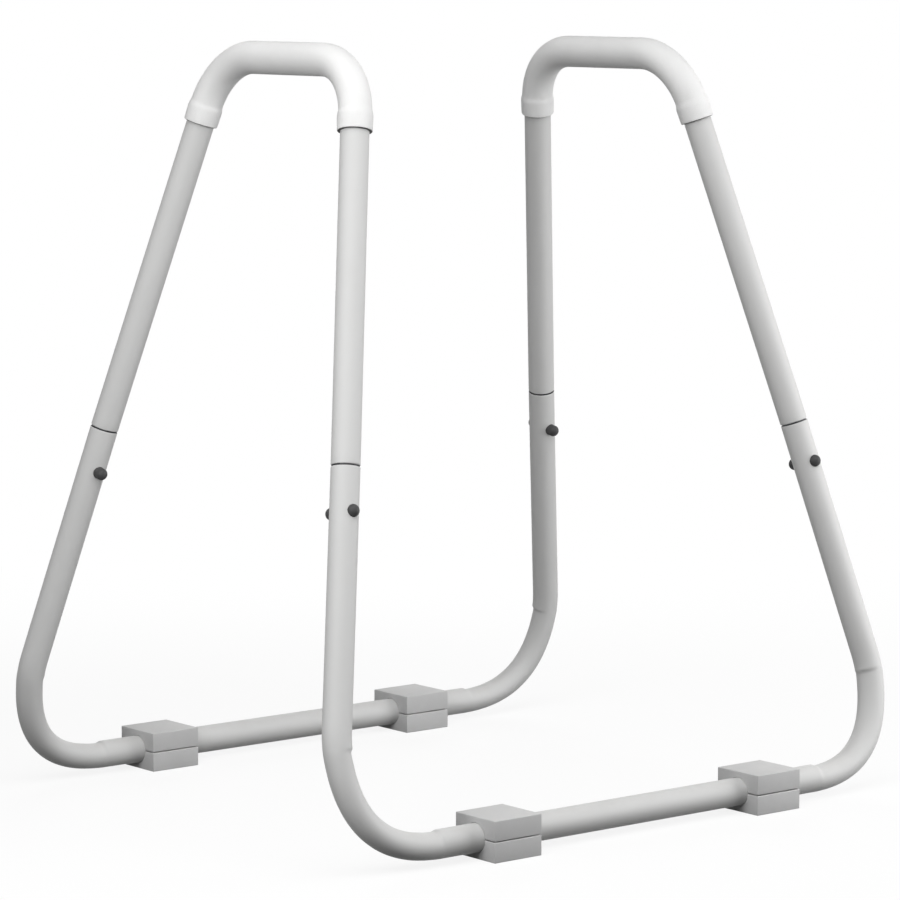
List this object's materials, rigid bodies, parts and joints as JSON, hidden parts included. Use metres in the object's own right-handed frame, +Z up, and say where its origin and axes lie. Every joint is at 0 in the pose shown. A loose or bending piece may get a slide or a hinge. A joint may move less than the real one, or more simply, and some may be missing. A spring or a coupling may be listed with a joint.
{
  "type": "dip station",
  "caption": "Free-standing dip station: two tilted handle frames with foam grips plug into front and rear base tubes on clamped block feet, locked by snap buttons.",
  "frame": {"origin": "on the floor, in the middle between the four feet", "axes": "+Z up, +X to the right of a user who looks towards +Y, both handles run along Y"},
  "size_m": [0.8986, 0.7688, 0.952],
  "materials": {
    "tube": "satin light grey powder coat",
    "grip": "light grey closed-cell foam",
    "foot": "grey moulded rubber, matt",
    "button": "black plastic, slightly glossy",
    "spring": "bright spring strip",
    "screw": "zinc plated"
  },
  "bodies": {
    "frame": {"base_tube_front": "tube", "base_tube_rear": "tube", "handle_tube_left": "tube", "handle_tube_right": "tube", "grip_left": "grip", "grip_right": "grip", "foot_top_front_left": "foot", "foot_bottom_front_left": "foot", "foot_screw_front_left_1": "screw", "foot_screw_front_left_2": "screw", "foot_screw_front_left_3": "screw", "foot_screw_front_left_4": "screw", "foot_top_front_right": "foot", "foot_bottom_front_right": "foot", "foot_screw_front_right_1": "screw", "foot_screw_front_right_2": "screw", "foot_screw_front_right_3": "screw", "foot_screw_front_right_4": "screw", "foot_top_rear_left": "foot", "foot_bottom_rear_left": "foot", "foot_screw_rear_left_1": "screw", "foot_screw_rear_left_2": "screw", "foot_screw_rear_left_3": "screw", "foot_screw_rear_left_4": "screw", "foot_top_rear_right": "foot", "foot_bottom_rear_right": "foot", "foot_screw_rear_right_1": "screw", "foot_screw_rear_right_2": "screw", "foot_screw_rear_right_3": "screw", "foot_screw_rear_right_4": "screw", "snap_spring_front_left": "spring", "snap_spring_front_right": "spring", "snap_spring_rear_left": "spring", "snap_spring_rear_right": "spring"},
    "outer_button_front_left": {"snap_button_outer_front_left": "button"},
    "outer_button_front_right": {"snap_button_outer_front_right": "button"},
    "outer_button_rear_left": {"snap_button_outer_rear_left": "button"},
    "outer_button_rear_right": {"snap_button_outer_rear_right": "button"},
    "inner_button_front_left": {"snap_button_inner_front_left": "button"},
    "inner_button_front_right": {"snap_button_inner_front_right": "button"},
    "inner_button_rear_left": {"snap_button_inner_rear_left": "button"},
    "inner_button_rear_right": {"snap_button_inner_rear_right": "button"}
  },
  "joints": [
    {"name": "press_outer_front_left", "type": "slide", "parent": "frame", "child": "outer_button_front_left", "axis": [-0.0464, 0.9766, -0.2102], "range_m": [0, 0.0086], "stiffness_N_per_m": 1200, "springref_m": -0.003, "deforming": ["snap_spring_front_left"]},
    {"name": "press_outer_front_right", "type": "slide", "parent": "frame", "child": "outer_button_front_right", "axis": [0.0464, 0.9766, -0.2102], "range_m": [0, 0.0086], "stiffness_N_per_m": 1200, "springref_m": -0.003, "deforming": ["snap_spring_front_right"]},
    {"name": "press_outer_rear_left", "type": "slide", "parent": "frame", "child": "outer_button_rear_left", "axis": [-0.0464, -0.9766, -0.2102], "range_m": [0, 0.0086], "stiffness_N_per_m": 1200, "springref_m": -0.003, "deforming": ["snap_spring_rear_left"]},
    {"name": "press_outer_rear_right", "type": "slide", "parent": "frame", "child": "outer_button_rear_right", "axis": [0.0464, -0.9766, -0.2102], "range_m": [0, 0.0086], "stiffness_N_per_m": 1200, "springref_m": -0.003, "deforming": ["snap_spring_rear_right"]},
    {"name": "press_inner_front_left", "type": "slide", "parent": "frame", "child": "inner_button_front_left", "axis": [0.0464, -0.9766, 0.2102], "range_m": [0, 0.0146], "stiffness_N_per_m": 1200, "springref_m": -0.003, "deforming": ["snap_spring_front_left"]},
    {"name": "press_inner_front_right", "type": "slide", "parent": "frame", "child": "inner_button_front_right", "axis": [-0.0464, -0.9766, 0.2102], "range_m": [0, 0.0146], "stiffness_N_per_m": 1200, "springref_m": -0.003, "deforming": ["snap_spring_front_right"]},
    {"name": "press_inner_rear_left", "type": "slide", "parent": "frame", "child": "inner_button_rear_left", "axis": [0.0464, 0.9766, 0.2102], "range_m": [0, 0.0146], "stiffness_N_per_m": 1200, "springref_m": -0.003, "deforming": ["snap_spring_rear_left"]},
    {"name": "press_inner_rear_right", "type": "slide", "parent": "frame", "child": "inner_button_rear_right", "axis": [-0.0464, 0.9766, 0.2102], "range_m": [0, 0.0146], "stiffness_N_per_m": 1200, "springref_m": -0.003, "deforming": ["snap_spring_rear_right"]}
  ]
}
